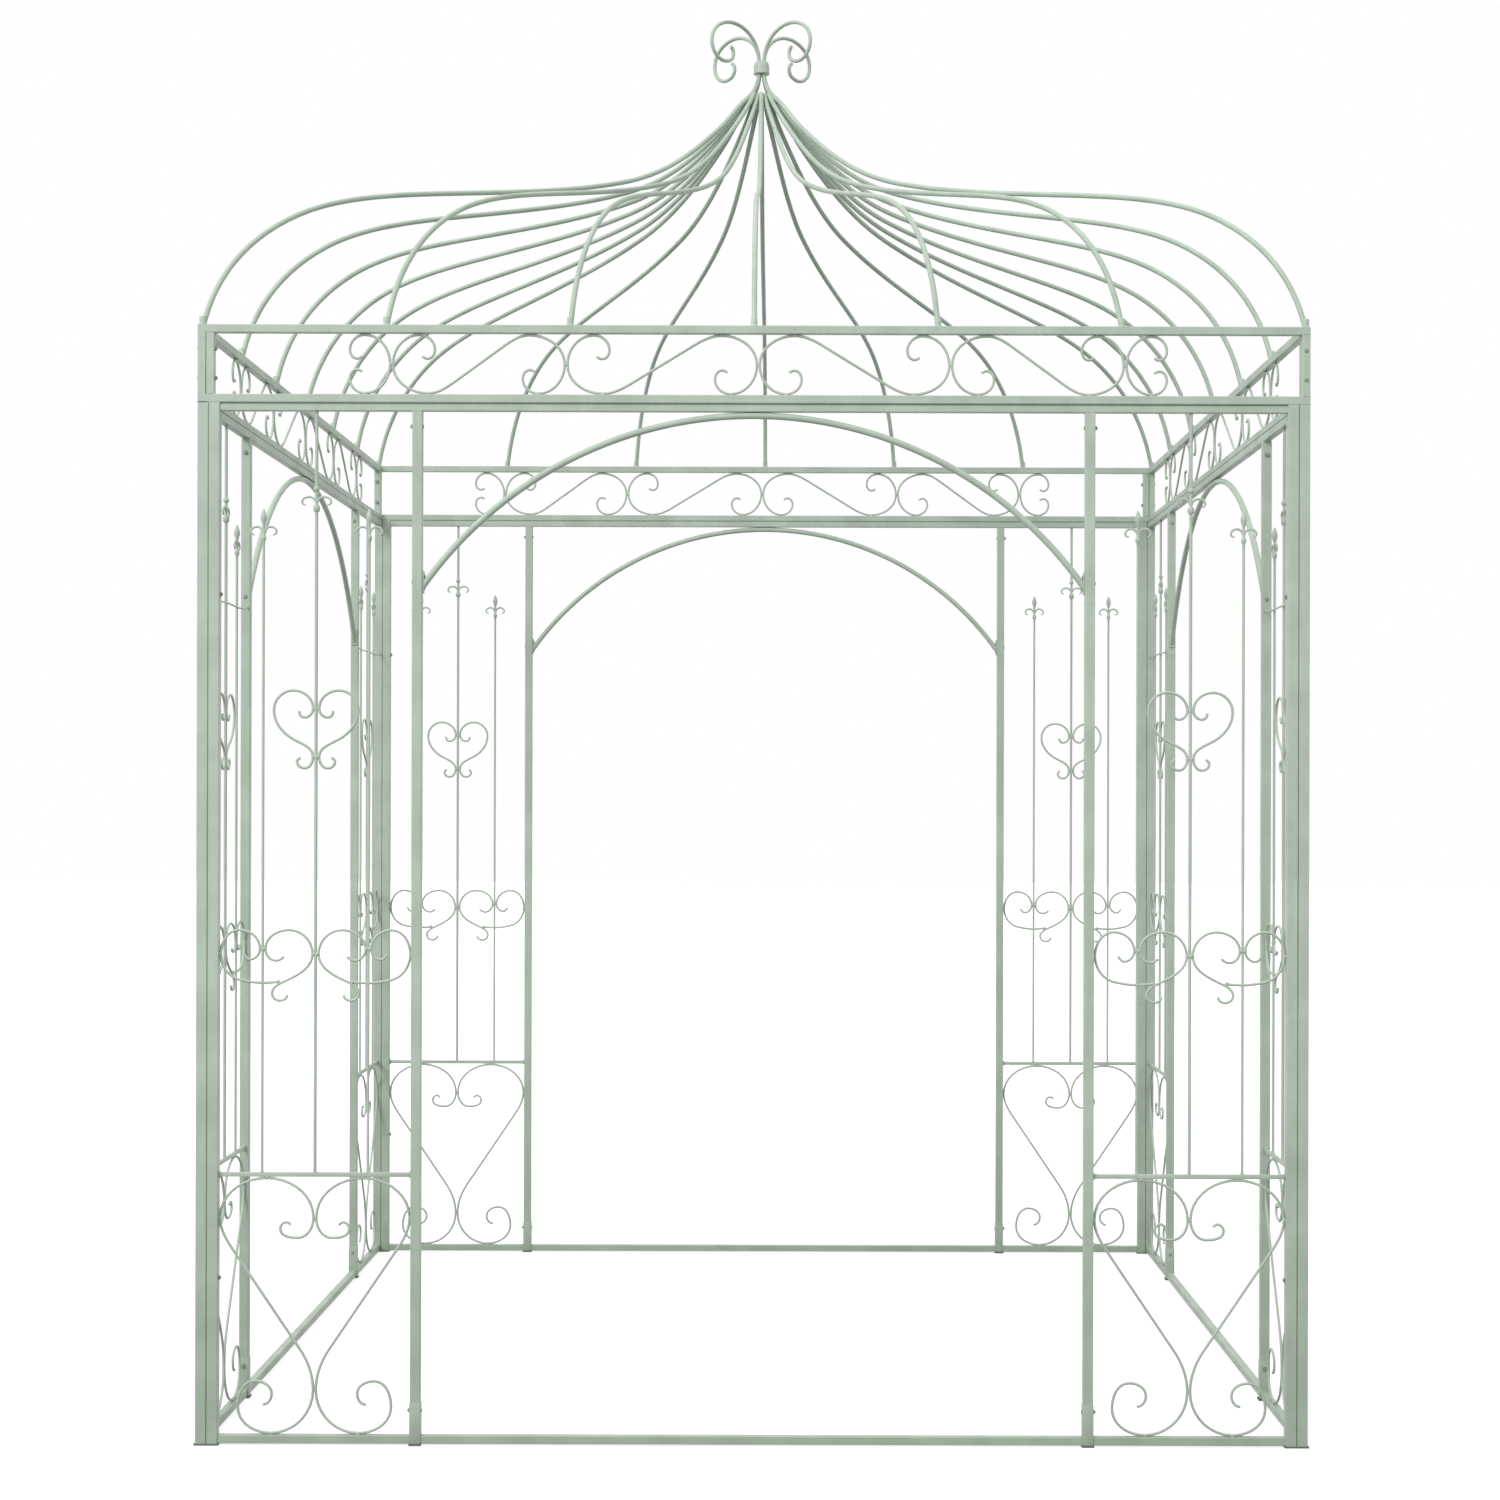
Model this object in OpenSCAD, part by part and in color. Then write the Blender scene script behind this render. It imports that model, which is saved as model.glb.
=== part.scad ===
// Garden gazebo of painted steel tube and rod: four open walls with an arched doorway in
// each, a scrollwork frieze above them and an ogee crown of bent ribs under a finial.
// Millimetres. +Z is up, the front wall faces -Y, and the origin is on the ground at the
// centre of the square plan.

/* [Plan] */
// Outer length of each side of the square plan
side_w = 2000; // [1600:10:2600]
// Clear width of a scroll panel between its corner post and its door post
panel_w = 346; // [280:2:420]

/* [Walls] */
// Height from the ground to the top of the walls' top rails
wall_h = 1875; // [1500:5:2400]
// Width of a square corner post
corner_post = 20; // [18:1:30]
// Width of a square door post
door_post = 18; // [18:1:28]
// Width of the square tube of the rails
rail = 15; // [12:1:16]
// Radius of the rounded tube edges
tube_edge = 1.5; // [0.5:0.25:2]
// Thickness of the plate under each post
foot_t = 3; // [2:1:8]
// How far a foot plate stands out past its post
foot_lip = 2; // [1:1:8]

/* [Arches] */
// Thickness of the arch bar
arch_bar = 12; // [8:1:16]
// Rise of the arch bar from its feet to its crown
arch_rise = 313; // [200:5:380]
// Height of the bolted tab at each arch foot
arch_tab_h = 40; // [20:2:60]
// Thickness of the bolted tab
arch_tab_t = 3; // [2:1:5]

/* [Scroll panels] */
// Height of the crossbar's middle above the ground
crossbar_z = 486; // [400:2:600]
// Height of the crossbar
crossbar = 8; // [6:1:12]
// Thickness of the rods and scrolls of a panel, front to back
panel_t = 6; // [4:1:10]
// Width of the centre rod
rod = 6; // [4:1:10]
// Width of a side rod
side_rod = 5; // [4:1:10]
// Width of the scroll bars
scroll_bar = 5; // [4:0.5:7]
// Place of a side rod between the middle of the panel (0) and the post (1)
side_rod_at = 0.55; // [0.5:0.01:0.6]
// Drop from the top rail to the middle of the heart
heart_drop = 580; // [500:5:640]
// Drop from the top rail to the arms of the centre rod's fleur
fleur_drop = 165; // [120:5:200]
// Drop from the top rail to the tips of the side rods
spear_drop = 175; // [120:5:220]
// Drop from the top rail to the tie bars of the side walls
tie_drop = 330; // [300:5:420]
// Height of a tie bar
tie_h = 8; // [6:1:12]
// Thickness of a tie bar
tie_t = 4; // [3:1:5]

/* [Frieze] */
// Height of the frieze panels
frieze_h = 140; // [120:2:160]
// Length of the inner S scrolls
inner_s = 346; // [300:2:380]
// Length of the outer S scrolls
outer_s = 314; // [280:2:340]

/* [Roof] */
// Rise from the frieze to the underside of the finial collar
roof_rise = 730; // [550:5:900]
// Thickness of the ribs
rib = 10; // [8:1:12]
// Number of equal bays along each side
bays = 6; // [4:1:8]
// Radius of the crown block that the ribs end on
crown_r = 50; // [48:1:60]
// Height of the crown block
crown_h = 36; // [30:1:50]
// Drop from the collar to the top of the crown block
crown_drop = 55; // [50:1:70]
// Radius of the finial collar
collar_r = 17.5; // [16:0.5:24]
// Height of the finial collar
collar_h = 28; // [20:1:50]
// Thickness of the finial scrolls
finial_rod = 8; // [6:0.5:9]

/* [Hidden] */

paint = "#AEBFAE";
dark_paint = "#9DAE9F";
$fn = 48;

// Turn in degrees between two points of a scroll's outline, and of a rib's
bend_step = 15;
rib_step = 4;
// Overlap that welds bars of one panel into one outline
weld = 0.05;
// Gap that separate pieces keep where a bent bar passes another
ease = 0.3;

// Side walls run the whole depth, and front and back walls fit between them.
FRONT = 0;
RIGHT = 1;
BACK = 2;
LEFT = 3;
full_wall = side_w;
inset_wall = side_w - 2*corner_post;

rail_under = wall_h - rail;
sill_top = foot_t + rail;
arch_apex = rail_under - arch_bar/2;
arch_foot = arch_apex - arch_rise;
heart_z = rail_under - heart_drop;
row_z = (crossbar_z + heart_z)/2;
half = scroll_bar/2;

// Distance of a door post's inner face from the middle of its wall
function door_half(len) = len/2 - corner_post - panel_w - door_post;
// Distance of a panel's middle from the middle of its wall
function panel_mid(len) = len/2 - corner_post - panel_w/2;

frieze_gap = frieze_h - 2*rail;
frieze_mid = wall_h + frieze_h/2;
eaves = wall_h + frieze_h;
rib_run = side_w/2 - rail/2;
collar_z = eaves + roof_rise;

// ---- bent bars ------------------------------------------------------------------
// A bent bar is a list of touch points [x, z, heading]. It leaves and meets each one
// along its heading, and between two of them it is the cubic curve nearest to an arc.

function turn(a, b) = let (d = b - a) d - 360*floor((d + 180)/360);
function reach(a) = a < 1 ? 1/3 : 2/3*tan(a/4)/sin(a/2);
function ahead(a) = [cos(a), sin(a)];
function place(p) = [p[0], p[1]];
function cubic(a, b, c, d, u) =
  pow(1 - u, 3)*a + 3*u*pow(1 - u, 2)*b + 3*u*u*(1 - u)*c + pow(u, 3)*d;

function leg(p, q, step) =
  let (
    swing = abs(turn(p[2], q[2])),
    pull = reach(swing)*norm(place(q) - place(p)),
    steps = max(1, ceil(swing/step)),
    b = place(p) + pull*ahead(p[2]),
    c = place(q) - pull*ahead(q[2])
  )
  [for (i = [0:steps - 1]) cubic(place(p), b, c, place(q), i/steps)];

function bent(touch, step = bend_step) = [
  each [for (i = [0:len(touch) - 2]) each leg(touch[i], touch[i + 1], step)],
  place(touch[len(touch) - 1])
];

function side_point(line, i, off) =
  let (
    before = line[max(i - 1, 0)],
    after = line[min(i + 1, len(line) - 1)],
    dir = (after - before)/norm(after - before)
  )
  line[i] + off*[-dir[1], dir[0]];

module bar(line, width) {
  last = len(line) - 1;
  polygon([
    each [for (i = [0:last]) side_point(line, i, width/2)],
    each [for (i = [last:-1:0]) side_point(line, i, -width/2)]
  ]);
}

// The same figure on both sides of the middle line
module both_ways() {
  children();
  mirror([1, 0]) children();
}

// Stands a flat figure up, with its thickness along Y
module upright(thick) {
  rotate([90, 0, 0]) linear_extrude(thick, center = true) children();
}

// ---- straight tubes ---------------------------------------------------------------

function tube_outline(w) = [
  for (q = [0:3], a = [0:45:90])
    (w/2 - tube_edge)*sqrt(2)*ahead(90*q + 45) + tube_edge*ahead(90*q + a)
];

module post(w, from_z, to_z) {
  translate([0, 0, from_z]) linear_extrude(to_z - from_z) polygon(tube_outline(w));
}

module beam(from_x, to_x, mid_z) {
  translate([from_x, 0, mid_z])
    rotate([90, 0, 90]) linear_extrude(to_x - from_x) polygon(tube_outline(rail));
}

// Puts a wall drawn along X on one side of the plan, on the posts' middle line
module on_wall(turns) {
  rotate([0, 0, 90*turns]) translate([0, corner_post/2 - side_w/2, 0]) children();
}

// ---- pieces of a wall -------------------------------------------------------------

module corner_posts(len) {
  color(paint) for (s = [-1, 1])
    translate([s*(len - corner_post)/2, 0, 0]) post(corner_post, foot_t, wall_h);
}

module door_posts(len) {
  color(paint) for (s = [-1, 1])
    translate([s*(door_half(len) + door_post/2), 0, 0]) post(door_post, foot_t, rail_under);
}

module rails(len) {
  inner = door_half(len);
  outer = inner + door_post;
  reach_x = len/2 - corner_post;
  color(paint) {
    beam(-reach_x, reach_x, wall_h - rail/2);
    beam(-inner, inner, foot_t + rail/2);
    for (s = [-1, 1])
      translate([s*(outer + reach_x)/2, 0, 0])
        beam(-panel_w/2, panel_w/2, foot_t + rail/2);
  }
}

// A round arch bar between the door posts, cut off flush at them, on two bolted tabs
module arch(len) {
  span = door_half(len);
  chord = span - arch_bar/2;
  arch_r = (chord*chord + arch_rise*arch_rise)/(2*arch_rise);
  color(paint) upright(arch_bar) {
    intersection() {
      translate([0, arch_apex - arch_r]) difference() {
        circle(arch_r + arch_bar/2, $fn = 180);
        circle(arch_r - arch_bar/2, $fn = 180);
      }
      translate([-span, arch_foot]) square([2*span, 2*arch_rise]);
    }
    for (s = [-1, 1])
      translate([s*(span - arch_tab_t/2), arch_foot])
        square([arch_tab_t, arch_tab_h], center = true);
  }
}

// ---- scroll panels ----------------------------------------------------------------
// All of these are the right half of a figure that stands on both sides of x = 0.

lower_top = crossbar_z - crossbar/2;
lower_mid = lower_top - 74;
panel_half = panel_w/2;
side_x = panel_half*side_rod_at;

// The long S below the crossbar: a hook, a lobe against crossbar and post, a straight
// run down to the middle and a spiral on the bottom rail
function long_scroll() =
  let (
    high = [panel_half - 32, lower_top - 141],
    low = [26, sill_top + 153],
    slope = atan2(low[1] - high[1], low[0] - high[0])
  )
  [
    [57, lower_mid + 2, -95], [30, lower_mid - 30, 180], [half, lower_mid, 90],
    [panel_half/2, lower_top - half, 0], [panel_half - half, lower_mid, -90],
    [high[0], high[1], slope], [low[0], low[1], slope],
    [half, sill_top + 80, -90], [79, sill_top + half, 0], [138, sill_top + 50, 90],
    [107, sill_top + 96, 180], [77, sill_top + 73, -90], [93, sill_top + 54, 0]
  ];

// The scroll beside the centre rod: a hook at the side rod, a lobe and a curled tail
function inner_row_scroll() =
  let (
    near = rod/2 + half,
    far = side_x - side_rod/2 - half
  )
  [
    [far - 33, row_z - 5, -50], [far - 19, row_z - 12, 0], [far, row_z + 9, 90],
    [(near + far)/2, row_z + 43, 180], [near, row_z, -90],
    [far - 33, row_z - 50, -25], [far - 12, row_z - 71, -90],
    [far - 26, row_z - 84, 180], [far - 39, row_z - 74, 90]
  ];

// The scroll beside the post, whose flat bottom runs in to the other one's tail
function outer_row_scroll() =
  let (near = side_x + side_rod/2 + half)
  [
    [near + 29, row_z - 1, -130], [near + 18, row_z - 10, 180], [near, row_z + 9, 90],
    [(near + panel_half)/2, row_z + 43, 0], [panel_half - half, row_z, -90],
    [panel_half - 38, row_z - 47, -168], [side_x + 2, row_z - 52, 180],
    [side_x - 30, row_z - 50, 172]
  ];

function heart_side() =
  let (near = rod/2 + half)
  [
    [30, heart_z + 40, -80], [21, heart_z + 29, 180], [near, heart_z + 45, 90],
    [41, heart_z + 77.5, 0], [76, heart_z + 42, -90], [45, heart_z - 8, -148],
    [near, heart_z - 42, -90], [21, heart_z - 62.5, 0], [34, heart_z - 51, 90],
    [28, heart_z - 44, 160]
  ];

// A pair of small leaves that turn out and down from a rod
function leaf(out, z) = [[1, z - 16, 90], [out/2 + 1, z + 2, 0], [out, z - 8, -95]];

leaf_bar = 4;
fleur_out = 25;
spear_out = 21;
spear_l = 45;
spear_w = 9;
fleur_z = rail_under - fleur_drop;
spear_z = rail_under - spear_drop;

module side_rod_bar() {
  translate([side_x - side_rod/2, crossbar_z]) square([side_rod, spear_z - spear_l - crossbar_z + 1]);
  translate([side_x, spear_z]) {
    polygon([[0, 0], [spear_w/2, -15], [side_rod/2, -spear_l], [-side_rod/2, -spear_l], [-spear_w/2, -15]]);
    both_ways() bar(bent(leaf(spear_out, -spear_l)), leaf_bar);
  }
}

module panel_bars() {
  both_ways() {
    bar(bent(long_scroll()), scroll_bar);
    bar(bent(inner_row_scroll()), scroll_bar);
    bar(bent(outer_row_scroll()), scroll_bar);
    bar(bent(heart_side()), scroll_bar);
    bar(bent(leaf(fleur_out, fleur_z)), leaf_bar);
    side_rod_bar();
  }
  translate([-rod/2, crossbar_z]) square([rod, rail_under - crossbar_z]);
  translate([-panel_half, lower_top]) square([panel_w, crossbar]);
}

module scroll_panel(len, side) {
  color(dark_paint) translate([side*panel_mid(len), 0, 0]) upright(panel_t)
    intersection() {
      offset(delta = weld) panel_bars();
      translate([-panel_half, sill_top]) square([panel_w, rail_under - sill_top]);
    }
}

// Flat ties behind the rods of the side walls' panels
module tie_bars(len) {
  color(dark_paint) for (s = [-1, 1])
    translate([s*panel_mid(len), (panel_t + tie_t)/2, rail_under - tie_drop])
      cube([panel_w, tie_t, tie_h], center = true);
}

// ---- feet -------------------------------------------------------------------------

module foot_plate(x_len) {
  size = [x_len + 2*foot_lip, corner_post + 2*foot_lip, foot_t];
  translate([0, 0, foot_t/2]) cube(size, center = true);
}

module door_feet(len) {
  for (s = [-1, 1]) translate([s*(door_half(len) + door_post/2), 0, 0]) foot_plate(door_post);
}

// One plate carries the two posts that meet at a corner.
module corner_feet() {
  for (s = [-1, 1]) translate([s*(side_w/2 - corner_post), 0, 0]) foot_plate(2*corner_post);
}

// ---- frieze -----------------------------------------------------------------------
// Each frieze panel ends against the next one, so the four turn round the plan.

module on_frieze(turns) {
  rotate([0, 0, 90*turns]) translate([0, rail/2 - side_w/2, 0]) children();
}

frieze_left = rail - side_w/2;
frieze_right = side_w/2;

module frieze_frame() {
  color(paint) {
    beam(frieze_left, frieze_right, wall_h + rail/2);
    beam(frieze_left, frieze_right, eaves - rail/2);
    for (x = [frieze_left + rail/2, frieze_right - rail/2])
      translate([x, 0, 0]) post(rail, wall_h + rail, eaves - rail);
  }
}

// The hooked end of a frieze scroll, with its side at x = 0 and its hook at the bottom
function hooked_end(hook_x) = [
  [hook_x - 22, 41, 45], [hook_x - 13, 45, 0], [hook_x, 29, -90],
  [hook_x/2 + 11, half, 180], [half, frieze_gap/2, 90]
];

// An S scroll is the same hooked end at both ends, turned half round.
function s_scroll(length) =
  let (
    crest = 66,
    slope = -1.2*atan2(frieze_gap - scroll_bar, length - 2*crest),
    run = [0.12*length, 0.12*length*tan(slope)],
    mid = [length/2, frieze_gap/2],
    start = mid - run,
    first = [each hooked_end(78), [crest, frieze_gap - half, 0], [start[0], start[1], slope]],
    n = len(first) - 1
  )
  [
    each first,
    each [for (i = [n:-1:0]) [length - first[i][0], frieze_gap - first[i][1], first[i][2]]]
  ];

// A C scroll is the same hooked end twice, mirrored at mid height.
function c_scroll() =
  let (first = hooked_end(75), n = len(first) - 1)
  [
    each first,
    each [for (i = [n - 1:-1:0]) [first[i][0], frieze_gap - first[i][1], 180 - first[i][2]]]
  ];

module frieze_bars() {
  both_ways() {
    bar(bent(s_scroll(inner_s)), scroll_bar);
    translate([inner_s, 0]) bar(bent(s_scroll(outer_s)), scroll_bar);
    translate([inner_s + outer_s, 0]) bar(bent(c_scroll()), scroll_bar);
  }
}

module frieze_scrolls() {
  color(dark_paint) translate([rail/2, 0, wall_h + rail]) upright(panel_t)
    intersection() {
      offset(delta = weld) frieze_bars();
      translate([-side_w/2, 0]) square([side_w, frieze_gap]);
    }
}

// ---- roof -------------------------------------------------------------------------
// The ogee of every rib in shares of its run to the wall and of the roof's rise

function ogee() = bent([
  [1, -0.01, 97], [0.853, 0.318, 135], [0.6, 0.452, 160.5], [0.283, 0.586, 149],
  [0.09, 0.807, 121], [0.045, 0.915, 112], [0.005, 1.015, 112]
], rib_step);

function rib_line(run) = [for (p = ogee()) [p[0]*run, eaves + p[1]*roof_rise]];

// A rib that lands at [x, y] and stops at radius stop_r or under the collar
module roof_rib(land, stop_r) {
  run = norm(land);
  rotate([0, 0, atan2(land[1], land[0])]) upright(rib)
    intersection() {
      bar(rib_line(run), rib);
      translate([stop_r, eaves]) square([run, roof_rise]);
    }
}

module side_ribs(turns) {
  pitch = 2*rib_run/bays;
  color(paint) rotate([0, 0, 90*turns])
    for (i = [1:bays - 1]) roof_rib([i*pitch - rib_run, -rib_run], crown_r);
}

// ---- the pieces -------------------------------------------------------------------

module front_corner_posts() { on_wall(FRONT) corner_posts(inset_wall); }
module front_door_posts() { on_wall(FRONT) door_posts(inset_wall); }
module front_rails() { on_wall(FRONT) rails(inset_wall); }
module front_arch() { on_wall(FRONT) arch(inset_wall); }
module front_left_panel() { on_wall(FRONT) scroll_panel(inset_wall, -1); }
module front_right_panel() { on_wall(FRONT) scroll_panel(inset_wall, 1); }

module right_corner_posts() { on_wall(RIGHT) corner_posts(full_wall); }
module right_door_posts() { on_wall(RIGHT) door_posts(full_wall); }
module right_rails() { on_wall(RIGHT) rails(full_wall); }
module right_arch() { on_wall(RIGHT) arch(full_wall); }
module right_left_panel() { on_wall(RIGHT) scroll_panel(full_wall, -1); }
module right_right_panel() { on_wall(RIGHT) scroll_panel(full_wall, 1); }

module back_corner_posts() { on_wall(BACK) corner_posts(inset_wall); }
module back_door_posts() { on_wall(BACK) door_posts(inset_wall); }
module back_rails() { on_wall(BACK) rails(inset_wall); }
module back_arch() { on_wall(BACK) arch(inset_wall); }
module back_left_panel() { on_wall(BACK) scroll_panel(inset_wall, -1); }
module back_right_panel() { on_wall(BACK) scroll_panel(inset_wall, 1); }

module left_corner_posts() { on_wall(LEFT) corner_posts(full_wall); }
module left_door_posts() { on_wall(LEFT) door_posts(full_wall); }
module left_rails() { on_wall(LEFT) rails(full_wall); }
module left_arch() { on_wall(LEFT) arch(full_wall); }
module left_left_panel() { on_wall(LEFT) scroll_panel(full_wall, -1); }
module left_right_panel() { on_wall(LEFT) scroll_panel(full_wall, 1); }

module side_tie_bars() {
  for (turns = [RIGHT, LEFT]) on_wall(turns) tie_bars(full_wall);
}

module post_feet() {
  color("#5E6A60") {
    for (turns = [FRONT, BACK]) on_wall(turns) {
      door_feet(inset_wall);
      corner_feet();
    }
    for (turns = [RIGHT, LEFT]) on_wall(turns) door_feet(full_wall);
  }
}

module front_frieze_frame() { on_frieze(FRONT) frieze_frame(); }
module front_frieze_scrolls() { on_frieze(FRONT) frieze_scrolls(); }
module right_frieze_frame() { on_frieze(RIGHT) frieze_frame(); }
module right_frieze_scrolls() { on_frieze(RIGHT) frieze_scrolls(); }
module back_frieze_frame() { on_frieze(BACK) frieze_frame(); }
module back_frieze_scrolls() { on_frieze(BACK) frieze_scrolls(); }
module left_frieze_frame() { on_frieze(LEFT) frieze_frame(); }
module left_frieze_scrolls() { on_frieze(LEFT) frieze_scrolls(); }

module front_ribs() { side_ribs(FRONT); }
module right_ribs() { side_ribs(RIGHT); }
module back_ribs() { side_ribs(BACK); }
module left_ribs() { side_ribs(LEFT); }

module corner_ribs() {
  color(paint) for (x = [-1, 1], y = [-1, 1]) roof_rib(rib_run*[x, y], rib/2 + ease);
}

// A block that takes the ends of the side ribs, and a spike up to the collar
module rib_crown() {
  spike_r = crown_r - 12;
  color(paint) translate([0, 0, collar_z - crown_drop]) {
    translate([0, 0, -crown_h]) cylinder(h = crown_h, r = crown_r);
    cylinder(h = crown_drop, r1 = spike_r, r2 = rib/2);
  }
}

module finial_collar() {
  color(dark_paint) translate([0, 0, collar_z]) cylinder(h = collar_h, r = collar_r);
}

// Four scrolls over the corners, standing on the collar
function finial_scroll() = [
  [8, 0, 90], [84, 67, 0], [149, 17, -90], [113, -20, 180], [85, 0, 90], [93, 14, 20]
];

module finial_scrolls() {
  color(paint) for (a = [45:90:315])
    rotate([0, 0, a]) translate([0, 0, collar_z + collar_h]) upright(finial_rod)
      bar(bent(finial_scroll()), finial_rod);
}

front_corner_posts();
front_door_posts();
front_rails();
front_arch();
front_left_panel();
front_right_panel();
right_corner_posts();
right_door_posts();
right_rails();
right_arch();
right_left_panel();
right_right_panel();
back_corner_posts();
back_door_posts();
back_rails();
back_arch();
back_left_panel();
back_right_panel();
left_corner_posts();
left_door_posts();
left_rails();
left_arch();
left_left_panel();
left_right_panel();
side_tie_bars();
post_feet();
front_frieze_frame();
front_frieze_scrolls();
right_frieze_frame();
right_frieze_scrolls();
back_frieze_frame();
back_frieze_scrolls();
left_frieze_frame();
left_frieze_scrolls();
front_ribs();
right_ribs();
back_ribs();
left_ribs();
corner_ribs();
rib_crown();
finial_collar();
finial_scrolls();
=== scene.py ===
# %% [markdown]
# # A painted steel garden gazebo
# This lesson dresses an open garden gazebo: four walls of square tube with an arched doorway in
# each, scrollwork panels of bent round rod, a frieze of scrolls and an ogee roof of bent ribs.
# The posts, rails and frieze frames come from the CAD model and only get their paint. Whatever
# is bent from round rod is swept again here, because a swept rod is round where the CAD model
# has a flat-sided bar.

import math

import bmesh
import bpy
from mathutils import Matrix, Vector


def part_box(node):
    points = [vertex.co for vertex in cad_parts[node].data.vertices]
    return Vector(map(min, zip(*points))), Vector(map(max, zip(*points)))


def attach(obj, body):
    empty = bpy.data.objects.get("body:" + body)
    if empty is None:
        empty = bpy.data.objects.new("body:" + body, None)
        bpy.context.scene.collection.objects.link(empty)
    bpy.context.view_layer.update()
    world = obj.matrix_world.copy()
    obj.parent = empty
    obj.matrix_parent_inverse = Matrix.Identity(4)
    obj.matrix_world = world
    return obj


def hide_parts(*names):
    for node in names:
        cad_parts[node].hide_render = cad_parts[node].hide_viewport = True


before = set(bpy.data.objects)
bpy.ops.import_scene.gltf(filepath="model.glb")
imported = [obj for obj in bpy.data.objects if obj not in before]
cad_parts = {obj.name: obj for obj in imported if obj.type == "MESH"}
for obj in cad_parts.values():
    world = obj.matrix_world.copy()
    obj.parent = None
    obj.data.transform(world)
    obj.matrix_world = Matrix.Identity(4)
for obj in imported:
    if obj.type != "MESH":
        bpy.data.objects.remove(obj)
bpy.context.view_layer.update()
MM = 0.001

# %% [markdown]
# ## Camera, floor and light
# The camera stands in front of the gazebo at about chest height and looks straight along +Y, so
# that upright tubes stay upright and the back wall shows inside the front doorway. A lens shift
# places the object in the frame, the way a view camera's rising front does.

# %% Camera
lens = bpy.data.cameras.new("garden_camera")
lens.sensor_width = 36
lens.lens = 62.0
lens.shift_x = -0.0272
lens.shift_y = 0.0316
lens.clip_start = 0.05
lens.clip_end = 60
camera = bpy.data.objects.new("garden_camera", lens)
camera.location = (0.068, -5.641, 1.167)
# Level, with a hair of roll
camera.rotation_euler = (math.radians(90), math.radians(-0.15), 0)
bpy.context.collection.objects.link(camera)
bpy.context.scene.camera = camera
print("camera at", tuple(camera.location), "lens", lens.lens, "mm")

# %% [markdown]
# Colours are written as the hex values that a paint chart uses, and one function turns them to
# the linear values that a shader works with. One more function adds a node to any tree, sets its
# options, and fills or links its inputs. Every material and every Geometry Nodes tree below is
# built with it.

# %% Colours and nodes
def linear(code):
    """The linear colour of an sRGB hex value such as #B4C2B2."""
    parts = [int(code[i:i + 2], 16)/255 for i in (1, 3, 5)]
    return tuple(p/12.92 if p <= 0.04045 else ((p + 0.055)/1.055)**2.4 for p in parts) + (1.0,)


def add(tree, kind, inputs=None, **settings):
    """Adds a node. inputs maps a socket, by name or number, to a value or another node's output."""
    node = tree.nodes.new(kind)
    for name, value in settings.items():
        setattr(node, name, value)
    for key, value in (inputs or {}).items():
        if isinstance(value, bpy.types.NodeSocket):
            tree.links.new(value, node.inputs[key])
        else:
            node.inputs[key].default_value = value
    return node


# %% [markdown]
# The floor is a plain pale studio sweep. The camera sees it mostly as white, with a share of its
# real shading left in near the gazebo, so that it keeps a soft shadow and melts into the sky
# further out. Everything else sees a dark grey floor, because a white one would light the
# undersides of the rails as strongly as the sky does.

# %% Studio floor
def studio_floor():
    """A plane that looks white to the camera and dark grey to everything it lights."""
    finish = bpy.data.materials.new("studio_floor_paper")
    finish.use_nodes = True
    tree = finish.node_tree
    tree.nodes.clear()
    ray = add(tree, "ShaderNodeLightPath")
    gloss = add(tree, "ShaderNodeMath", {0: ray.outputs["Is Camera Ray"], 1: ray.outputs["Is Glossy Ray"]},
                operation="MAXIMUM")
    seen = add(tree, "ShaderNodeMath", {0: gloss.outputs[0], 1: ray.outputs["Is Transmission Ray"]},
               operation="MAXIMUM")
    where = add(tree, "ShaderNodeTexCoord").outputs["Object"]
    away = add(tree, "ShaderNodeVectorMath", {0: where}, operation="LENGTH")
    level = add(tree, "ShaderNodeMapRange", {"Value": away.outputs["Value"], "From Min": 1.5,
                                            "From Max": 5.0, "To Min": 0.76, "To Max": 1.0})
    white = add(tree, "ShaderNodeEmission", {"Color": (1, 1, 1, 1), "Strength": level.outputs[0]})
    shaded = add(tree, "ShaderNodeBsdfDiffuse", {"Color": (0.32, 0.32, 0.32, 1)})
    bounce = add(tree, "ShaderNodeBsdfDiffuse", {"Color": (0.20, 0.20, 0.19, 1)})
    shown = add(tree, "ShaderNodeAddShader", {0: shaded.outputs[0], 1: white.outputs[0]})
    both = add(tree, "ShaderNodeMixShader", {0: seen.outputs[0], 1: bounce.outputs[0], 2: shown.outputs[0]})
    add(tree, "ShaderNodeOutputMaterial", {"Surface": both.outputs[0]})
    mesh = bpy.data.meshes.new("studio_floor")
    far = 30.0
    mesh.from_pydata([(-far, -far, 0), (far, -far, 0), (far, far, 0), (-far, far, 0)], [], [(0, 1, 2, 3)])
    mesh.materials.append(finish)
    floor = bpy.data.objects.new("studio_floor", mesh)
    bpy.context.collection.objects.link(floor)
    return floor


floor = studio_floor()

# %% [markdown]
# The sky is an even white for the camera. The light it sheds grows from the horizon to the zenith,
# as it does outdoors, and it reaches the inner faces of the walls and the sides that the lamps
# miss. Two large lamps stand high in front of the gazebo, and the left one is by far the stronger,
# so each tube gets a light side and a slightly darker one. Together they light the paint so that
# it renders about as its hex value is written.

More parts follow.
